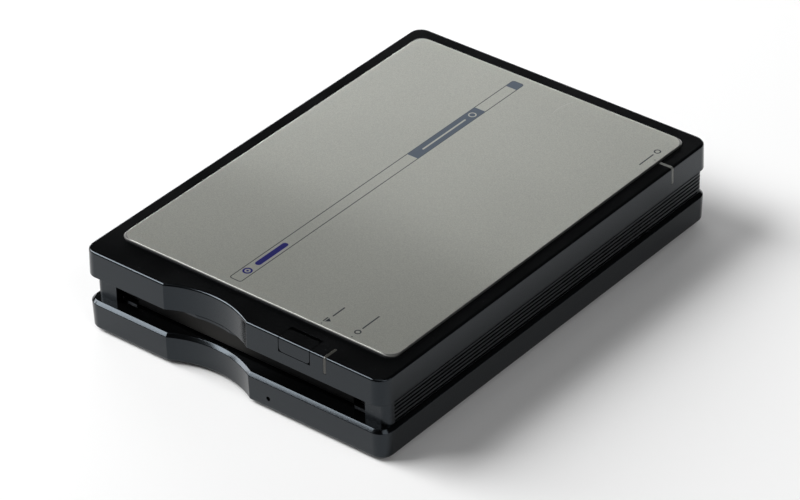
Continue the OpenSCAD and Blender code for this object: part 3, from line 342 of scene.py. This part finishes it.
# %% The long strip
STRIP = (-11.25, -64.0, -7.15, 68.5)
STRIP_CORNER = 0.8
STRIP_MIDDLE = -9.2
STRIP_SIDES = (-12, -6)
FILLED = ((16.7, 49.4), (64.8, 69))
HAIRLINE = 0.15
OPEN_RING_Y = 45.6
OPEN_RING_RADIUS = 1.1
OPEN_LINE = (21.5, 42.3)
OPEN_LINE_HALF = 0.3
DISC_Y = -58.5
DISC_RADIUS = 1.2
BAR = (-54.7, -41.0)
BAR_HALF = 1.0


def bar_mark(x, y, ends, half):
    """1 inside a bar with round ends along the strip's middle."""
    return box_mark(x, y, STRIP_MIDDLE - half, ends[0], STRIP_MIDDLE + half, ends[1], half)


def strip_marks(x, y):
    """Filled lengths and outline of the strip."""
    strip = box_distance(x, y, *STRIP, STRIP_CORNER)
    outline = abs(strip).under(HAIRLINE, INK_EDGE)
    x0, x1 = STRIP_SIDES
    longer, shorter = (box_mark(x, y, x0, start, x1, end) for start, end in FILLED)
    ring = ring_mark(x, y, STRIP_MIDDLE, OPEN_RING_Y, OPEN_RING_RADIUS)
    line = bar_mark(x, y, OPEN_LINE, OPEN_LINE_HALF)
    filled = strip.under(0, INK_EDGE) * (longer + shorter) * (1 - ring.most(line))
    return filled, outline


def disc_sign(x, y):
    """A disc and a bar at the strip's front end."""
    rim = ring_mark(x, y, STRIP_MIDDLE, DISC_Y, DISC_RADIUS, 0.3)
    hub = dot_mark(x, y, STRIP_MIDDLE, DISC_Y, 0.4)
    return rim.most(hub).most(bar_mark(x, y, BAR, BAR_HALF))


print("strip", round(STRIP[2] - STRIP[0], 2), "x", STRIP[3] - STRIP[1], "mm")

# %% [markdown]
# Three small signs stand beside the eject button and the two lamps, each with a short line and a dot.
# They are masks like the strip's, and the largest of several masks is their union.

# %% The small signs
EJECT_ARROW = (24.2, -63.6, 1.4)
EJECT_BAR = (23.5, -64.7, 23.9, -62.5)
EJECT_LINE = (24.2, -61.3, -56.0)
EJECT_DOT = (24.0, -65.8)
ACCESS_RING = (34.8, -63.0, 0.85)
ACCESS_LINE = (34.6, -61.0, -53.5)
ACCESS_DOT = (34.9, -65.7)
POWER_RING = (47.0, 62.4, 0.9)
POWER_LINE = (46.75, 53.3, 60.4)
POWER_DOT = (49.1, 58.2)


def eject_sign(x, y):
    """A triangle over a bar, with a line and a dot, beside the button."""
    arrow = triangle_mark(x, y, *EJECT_ARROW).most(box_mark(x, y, *EJECT_BAR))
    return arrow.most(line_mark(x, y, *EJECT_LINE)).most(dot_mark(x, y, *EJECT_DOT))


def lamp_sign(x, y, ring, line, dot):
    """A ring, a line and a dot, beside a lamp."""
    return ring_mark(x, y, *ring).most(line_mark(x, y, *line)).most(dot_mark(x, y, *dot))


def small_signs(x, y):
    access = lamp_sign(x, y, ACCESS_RING, ACCESS_LINE, ACCESS_DOT)
    power = lamp_sign(x, y, POWER_RING, POWER_LINE, POWER_DOT)
    return eject_sign(x, y).most(access).most(power)


print("small signs at", EJECT_ARROW[:2], ACCESS_RING[:2], POWER_RING[:2], "mm")

# %% [markdown]
# The plate is sprayed silver. Metal flakes in the paint give a fine sparkle, so the paint is metallic
# with a broad highlight and a speckle about a third of a millimetre across. A thin plate that is pressed
# onto a moulded lid is also never quite flat, and a satin metal shows it. Two bends of about a degree,
# far too shallow to see as a shape, are added to the height that drives the bump.

# %% Silver plate with its print
FLAKE_SIZE = 0.0003
CLOUD_SIZE = 0.03
PAINT_GRAIN = 0.004
DARK_FLAKE = (0.600, 0.612, 0.556)
PALE_FLAKE = (0.740, 0.754, 0.687)
LINE_INK = (0.045, 0.055, 0.07)
SLATE_INK = (0.12, 0.16, 0.22)
NAVY_INK = (0.006, 0.005, 0.27)
SCRATCH_BRIGHT = (0.95, 0.95, 0.93)
SCRATCH_CIRCLE = (22.15, 63.4, 12.9)
SCRATCH_HALF = 0.04
SCRATCH_X = 15
SCRATCH_Y = 65.6
SCRATCH_REACH = 4.6
SCRATCH_FADE = 2.4
PLATE_EDGE_SHADE = (0.16, 0.16, 0.155)
PLATE_TOP = 28.27
BACK_BEND = (40, 25, 0.009)
FRONT_BEND = (-22, 15, 0.022)


def plate_scratch(x, y):
    """One curved scratch near the back edge, fading towards its ends."""
    line = ring_mark(x, y, *SCRATCH_CIRCLE, SCRATCH_HALF)
    return line * abs(y - SCRATCH_Y).under(SCRATCH_REACH, SCRATCH_FADE) * x.under(SCRATCH_X, 1)


def crease(y, at, reach, slope):
    """Height in millimetres of a soft bend across the plate, a hyperbola with that slope at its ends."""
    return ((y - at) * (y - at) + reach * reach).root() * slope


def silver_plate():
    finish = Finish("silver_plate", metallic=0.95)
    place = finish.place()
    fine = finish.noise(FLAKE_SIZE, 2, place)
    cloud = finish.noise(CLOUD_SIZE, 2, place)
    flake = finish.ramp(fine, 0.0, 1.0, 0.3, 0.7)
    x, y, z = finish.axes_in_mm()
    filled, outline = strip_marks(x, y)
    lines = outline.most(small_signs(x, y))
    colour = finish.mix(flake, DARK_FLAKE, PALE_FLAKE)
    colour = finish.mix(lines, colour, LINE_INK)
    colour = finish.mix(filled, colour, SLATE_INK)
    colour = finish.mix(disc_sign(x, y), colour, NAVY_INK)
    colour = finish.mix(plate_scratch(x, y), colour, SCRATCH_BRIGHT)
    # the plate's side and bevel are painted darker and rougher: painted shade that keeps their highlight
    # thin
    edge = z.under(PLATE_TOP, 0.04)
    finish.set(base_color=finish.mix(edge, colour, PLATE_EDGE_SHADE))
    finish.set(roughness=finish.ramp(0.25 * cloud + fine, 0.28, 0.35, 0.3, 0.95) + 0.2 * edge)
    bend = crease(y, *BACK_BEND) - crease(y, *FRONT_BEND)
    finish.set(normal=finish.bump(fine + bend / PAINT_GRAIN, PAINT_GRAIN / 1000))
    return finish.material


plate_silver = silver_plate()
print("plate finish has", len(plate_silver.node_tree.nodes), "nodes")

# %% [markdown]
# Most metals sit inside the case, yet each gets its own gloss, grain and small unevenness, because the
# drive can be opened and turned. Cast and turned metals differ only in numbers, so one function makes
# them. Rolled sheet has lines, which are the same noise stretched along the drive by a Mapping node.

# %% Metals
TARNISH_PATCH = 0.012
BRUSH_LINE = 0.00025
BRUSH_STRETCH = (1, 0.03, 1)
FINE_DEPTH = 0.000003


def metal(name, colour, gloss, grain=0.0004, depth=FINE_DEPTH, share=1.0):
    finish = Finish(name, metallic=share)
    fine = finish.noise(grain, 3)
    wide = finish.noise(TARNISH_PATCH, 2)
    darker = tuple(0.82 * c for c in colour)
    finish.set(base_color=finish.mix(wide, darker, colour))
    finish.set(roughness=finish.ramp(wide + 0.5 * fine, gloss - 0.06, gloss + 0.08, 0.3, 1.2))
    finish.set(normal=finish.bump(fine, depth))
    return finish.material


def brushed(name, colour, gloss):
    """Rolled sheet, with fine lines along the drive's length."""
    finish = Finish(name, metallic=1.0)
    sockets = {"Vector": finish.place(), "Scale": BRUSH_STRETCH}
    lines = finish.noise(BRUSH_LINE, 3, finish.node("ShaderNodeMapping", sockets=sockets))
    darker = tuple(0.8 * c for c in colour)
    finish.set(base_color=finish.mix(lines, darker, colour))
    finish.set(roughness=finish.ramp(lines, gloss - 0.07, gloss + 0.07))
    finish.set(normal=finish.bump(lines, FINE_DEPTH))
    return finish.material


print("metal finishes ready")

# %% [markdown]
# Rubber, clear plastic, nylon, glass and the ribbon need only a speckle of the right size around one
# colour. A circuit board is green lacquer over copper tracks, and a Brick texture's mortar lines stand
# for those.

# %% Soft, clear and coloured finishes
LACQUER_DARK = (0.016, 0.085, 0.035)
LACQUER_PALE = (0.024, 0.115, 0.048)
TRACK_GREEN = (0.05, 0.19, 0.07)
TRACK_SCALE = 260
TRACK_WIDTH = 0.012
TRACK_HEIGHT = 0.00002


def speckled(name, colour, gloss, size, spread=0.25, depth=0.000006, **values):
    finish = Finish(name, **values)
    fine = finish.noise(size, 4)
    darker = tuple(c * (1 - spread) for c in colour)
    lighter = tuple(c * (1 + spread) for c in colour)
    finish.set(base_color=finish.mix(fine, darker, lighter))
    finish.set(roughness=finish.ramp(fine, gloss - 0.05, gloss + 0.05))
    finish.set(normal=finish.bump(fine, depth))
    return finish.material


def circuit_board(name):
    finish = Finish(name, coat_weight=0.3)
    sockets = {"Vector": finish.place(), "Scale": TRACK_SCALE, "Mortar Size": TRACK_WIDTH}
    tracks = finish.node("ShaderNodeTexBrick", sockets=sockets, output=1)
    tint = finish.noise(0.006, 2)
    lacquer = finish.mix(tint, LACQUER_DARK, LACQUER_PALE)
    finish.set(base_color=finish.mix(tracks, lacquer, TRACK_GREEN))
    finish.set(roughness=finish.ramp(tint, 0.3, 0.42))
    finish.set(normal=finish.bump(tracks, TRACK_HEIGHT))
    return finish.material


print("small finishes ready")

# %% [markdown]
# The USB socket is one CAD piece, yet a real one is a plated shell around a black tongue with gold
# contacts. Cutting the mesh apart would work too, but masks by position do it without a second piece to
# keep in step. A zigzag across the tongue's width gives the five contacts at their pitch of 0.8 mm.

# %% Socket with a black tongue
USB_X = 18.0
TONGUE_Y = 67.6
TONGUE_Z = 13.125
TONGUE_HALF = (2.42, 0.45)
TONGUE_EDGE = 0.05
CONTACTS = 5
CONTACT_PITCH = 0.8
CONTACT_EDGE = 0.04
CONTACT_RISE = 0.3
PLATING = (0.62, 0.63, 0.65)
TONGUE_BLACK = (0.008, 0.008, 0.009)
CONTACT_GOLD = (0.78, 0.57, 0.24)


def plated_socket():
    finish = Finish("plated_socket")
    x, y, z = finish.axes_in_mm()
    across = abs(x - USB_X)
    over = abs(z - TONGUE_Z)
    tongue = across.under(TONGUE_HALF[0], TONGUE_EDGE) * over.under(TONGUE_HALF[1], TONGUE_EDGE)
    tongue = tongue * (TONGUE_Y - y).under(0, TONGUE_EDGE)
    contacts = across.zigzag(CONTACT_PITCH / 2).under(CONTACT_PITCH / 4, CONTACT_EDGE)
    contacts = contacts * across.under(CONTACTS / 2 * CONTACT_PITCH, CONTACT_EDGE)
    gold = tongue * contacts * (TONGUE_Z + CONTACT_RISE - z).under(0, TONGUE_EDGE)
    fine = finish.noise(0.0004, 3)
    colour = finish.mix(tongue, PLATING, TONGUE_BLACK)
    finish.set(base_color=finish.mix(gold, colour, CONTACT_GOLD))
    finish.set(metallic=1 - tongue * (1 - gold))
    finish.set(roughness=finish.ramp(fine, 0.24, 0.34) + 0.2 * tongue)
    finish.set(normal=finish.bump(fine, FINE_DEPTH))
    return finish.material


socket_plating = plated_socket()
print("socket", socket_plating.name)

# %% [markdown]
# The record names a material slot for every piece, so the finishes are kept in a table by that name. A
# few pieces share a slot with others and still look different, and a second table holds their own
# finishes. The light pipes are such a pair: the one at the front is smoky and the one at the right is
# paler.

# %% Tables of finishes
CLEAR_PLASTIC_IOR = 1.49
pale_pipe = speckled("light_pipe", (0.15, 0.155, 0.145), 0.2, 0.002, 0.1, 0.000002,
                     transmission_weight=0.15, ior=CLEAR_PLASTIC_IOR)
smoky_pipe = speckled("smoky_pipe", (0.035, 0.035, 0.031), 0.18, 0.002, 0.1, 0.000002,
                      ior=CLEAR_PLASTIC_IOR)
lens_glass = speckled("lens_glass", (0.72, 0.83, 0.92), 0.06, 0.003, 0.03, 0.000001,
                      transmission_weight=0.85)
FINISHES = {
    "black_case": case_black,
    "waist_black": waist_black,
    "black_part": part_black,
    "silver_plate": plate_silver,
    "rubber": speckled("rubber", (0.018, 0.018, 0.019), 0.72, 0.0005, depth=0.00002),
    "screw_steel": metal("screw_steel", (0.62, 0.63, 0.65), 0.28),
    "light_pipe": pale_pipe,
    "board_green": circuit_board("board_green"),
    "lamp": speckled("lamp", (0.55, 0.72, 0.48), 0.3, 0.001, 0.1),
    "ribbon": speckled("ribbon", (0.62, 0.60, 0.56), 0.5, 0.0008, 0.08),
    "cast_alloy": metal("cast_alloy", (0.52, 0.53, 0.55), 0.46, 0.0008, 0.00002, 0.9),
    "sheet_steel": brushed("sheet_steel", (0.60, 0.61, 0.63), 0.32),
    "rotor_steel": metal("rotor_steel", (0.66, 0.67, 0.69), 0.18),
    "coil_copper": brushed("coil_copper", (0.62, 0.27, 0.12), 0.34),
    "lens_glass": lens_glass,
    "magnet": metal("magnet", (0.16, 0.16, 0.17), 0.5, 0.0006, 0.00001, 0.6),
    "laser_gold": metal("laser_gold", (0.78, 0.57, 0.24), 0.24),
    "gear_nylon": speckled("gear_nylon", (0.72, 0.69, 0.60), 0.42, 0.001, 0.06),
}
OWN_FINISH = {
    "access_light_pipe": smoky_pipe,
    "slot_flap": flap_black,
    "usb_socket": socket_plating,
    # the guides and the holder are painted near black: painted shade for the inside of the slot
    "slot_guides": metal("spring_in_painted_shade", (0.10, 0.10, 0.105), 0.3),
    "cartridge_holder": brushed("sheet_in_painted_shade", (0.09, 0.09, 0.095), 0.42),
}
print(len(FINISHES) + len(OWN_FINISH), "finishes")

# %% [markdown]
# Every CAD piece is now dressed in one loop. The CAD meshes themselves aren't touched. Their slots only
# receive the new materials.

# %% Dress every CAD piece
SLOT_OF = {piece["node"]: piece["material_slot"] for piece in frame["record"]["subparts"]}


def finish_of(node):
    return OWN_FINISH.get(node) or FINISHES[SLOT_OF[node]]


for node, piece in NODES.items():
    for slot in piece.material_slots:
        slot.material = finish_of(node)
print("dressed", len(NODES), "pieces in", len(set(SLOT_OF.values())), "slots")

# %% [markdown]
# A drawn edge is perfectly sharp, and a moulded or stamped one never is: it is the thin line of light
# along the edges that tells plastic from a drawing. So the pieces that show get a copy with bevelled
# edges. The copy is welded first, because a CAD mesh arrives as loose triangles, and flat triangles are
# joined. Bevel's clamp makes the bevel finer on a whole piece when some of its edges are short. On the
# lower case that would leave the chamfer looking sharp, so the clamp is off there.

# %% A copy with soft edges
FULL_WIDTH = {"lower_case"}
WELD = 0.000002
FLAT_ANGLE = radians(0.4)
SHARP_ANGLE = radians(32)


def soft_edged(node, width):
    bpy.ops.object.select_all(action="DESELECT")
    piece = bpy.data.objects.new(node + "_finished", NODES[node].data.copy())
    bpy.context.scene.collection.objects.link(piece)
    bpy.context.view_layer.objects.active = piece
    piece.select_set(True)
    bpy.ops.object.mode_set(mode="EDIT")
    bpy.ops.mesh.select_all(action="SELECT")
    bpy.ops.mesh.remove_doubles(threshold=WELD)
    bpy.ops.mesh.dissolve_limited(angle_limit=FLAT_ANGLE)
    bpy.ops.object.mode_set(mode="OBJECT")
    bevel = piece.modifiers.new("soft edge", "BEVEL")
    bevel.width = width
    bevel.segments = 2
    bevel.limit_method = "ANGLE"
    bevel.angle_limit = SHARP_ANGLE
    bevel.use_clamp_overlap = node not in FULL_WIDTH
    bpy.ops.object.modifier_apply(modifier=bevel.name)
    bpy.ops.object.shade_smooth_by_angle(angle=SHARP_ANGLE)
    weighted = piece.modifiers.new("flat faces stay flat", "WEIGHTED_NORMAL")
    weighted.keep_sharp = True
    weighted.weight = 90
    bpy.ops.object.modifier_apply(modifier=weighted.name)
    return piece


print("edges sharper than", round(SHARP_ANGLE / pi * 180), "degrees get soft")

# %% [markdown]
# Each finished copy stands for its CAD piece: it rides on the same body, hides the piece and takes the
# finish of its slot. The widths are guesses at the real edges, from a stamped plate's to a rubber foot's,
# and where the clamp acts the bevel comes out finer than listed.

# %% The pieces that show
SOFT_EDGES = {
    "upper_case": 0.00012,
    "lower_case": 0.00015,
    "waist_frame": 0.0001,
    "top_plate": 0.00008,
    "eject_button": 0.00018,
    "access_light_pipe": 0.0001,
    "power_light_pipe": 0.0001,
    "slot_flap": 0.00015,
    "slot_guides": 0.0001,
    "rubber_feet": 0.0002,
    "case_screws": 0.0001,
    "usb_socket": 0.00008,
    "dc_jack": 0.00015,
}
for node, width in SOFT_EDGES.items():
    made = soft_edged(node, width)
    made.data.materials.clear()
    made.data.materials.append(finish_of(node))
    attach(made, NODES[node]["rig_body"])
    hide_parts(node)
    print(made.name, len(made.data.polygons), "faces")

# %% [markdown]
# The drive stands on a sheet of pale studio paper. It is one plane, large enough to fill the picture from
# any side, with a little unevenness in its white. Black plastic mirrors it, so it matters as much as the
# lamps.

# %% Floor
FLOOR_SIZE = 6
PAPER_DIM = (0.89, 0.89, 0.89)
PAPER_PALE = (0.91, 0.91, 0.91)
bpy.ops.object.select_all(action="DESELECT")
bpy.ops.mesh.primitive_plane_add(size=FLOOR_SIZE, location=(0, 0, 0))
floor = bpy.context.object
floor.name = "floor"
bpy.ops.object.mode_set(mode="EDIT")
bpy.ops.mesh.select_all(action="SELECT")
bpy.ops.mesh.subdivide(number_cuts=4)
bpy.ops.object.mode_set(mode="OBJECT")
paper = Finish("studio_paper", roughness=0.9)
paper.set(base_color=paper.mix(paper.noise(0.4, 2), PAPER_DIM, PAPER_PALE))
floor.data.materials.append(paper.material)
print("floor", [round(d, 2) for d in floor.dimensions])

# %% [markdown]
# Six softboxes light it. The key and side lamps, at the front left, give the bright lines on the chamfers
# and light the floor, whose reflection makes the front faces dark grey and not black. The low lamp behind
# shines along the plate and shapes its sheen. The lamps at the right are weak, so that side stays darker,
# and they also give the plate something to mirror when it is seen from the left.

# %% Softboxes
AIM = Vector((0, 0, 0.015))


def softbox(name, left, high, distance, width, height, radiance):
    """An area light that faces the drive, turned left of its front and raised by so many degrees."""
    bpy.ops.object.light_add(type="AREA", location=(0, 0, 0))
    lamp = bpy.context.object
    lamp.name = name
    lamp.data.shape = "RECTANGLE"
    lamp.data.size = width
    lamp.data.size_y = height
    lamp.data.energy = radiance * pi * width * height
    flat = cos(radians(high))
    towards = Vector((-sin(radians(left)) * flat, -cos(radians(left)) * flat, sin(radians(high))))
    lamp.location = AIM + towards * distance
    lamp.rotation_euler = towards.to_track_quat("Z", "Y").to_euler()
    return lamp


lamps = [
    softbox("key_softbox", left=62, high=43, distance=2.4, width=1.5, height=1.2, radiance=11.0),
    softbox("side_softbox", left=76, high=23, distance=2.2, width=1.0, height=0.55, radiance=9.0),
    softbox("top_softbox", left=0, high=84, distance=1.6, width=0.8, height=0.8, radiance=1.0),
    softbox("fill_softbox", left=-70, high=40, distance=2.0, width=1.0, height=1.0, radiance=2.0),
    softbox("back_glow", left=140, high=8.5, distance=1.1, width=1.4, height=0.24, radiance=10.0),
    softbox("right_softbox", left=-95, high=22, distance=2.4, width=2.4, height=0.7, radiance=1.2),
]
print("lamps", [round(lamp.data.energy, 1) for lamp in lamps], "watts")

# %% [markdown]
# The room around the lamps is nearly dark, so that the black plastic mirrors the lamps and the floor
# alone. The Standard view shows colours as they are written.

# %% Room and view
ROOM_LIGHT = 0.015
world = bpy.data.worlds.new("dim_room")
world.use_nodes = True
room = world.node_tree.nodes["Background"]
room.inputs["Color"].default_value = (1, 1, 1, 1)
room.inputs["Strength"].default_value = ROOM_LIGHT
bpy.context.scene.world = world
bpy.context.scene.view_settings.view_transform = "Standard"
print("room light", ROOM_LIGHT)
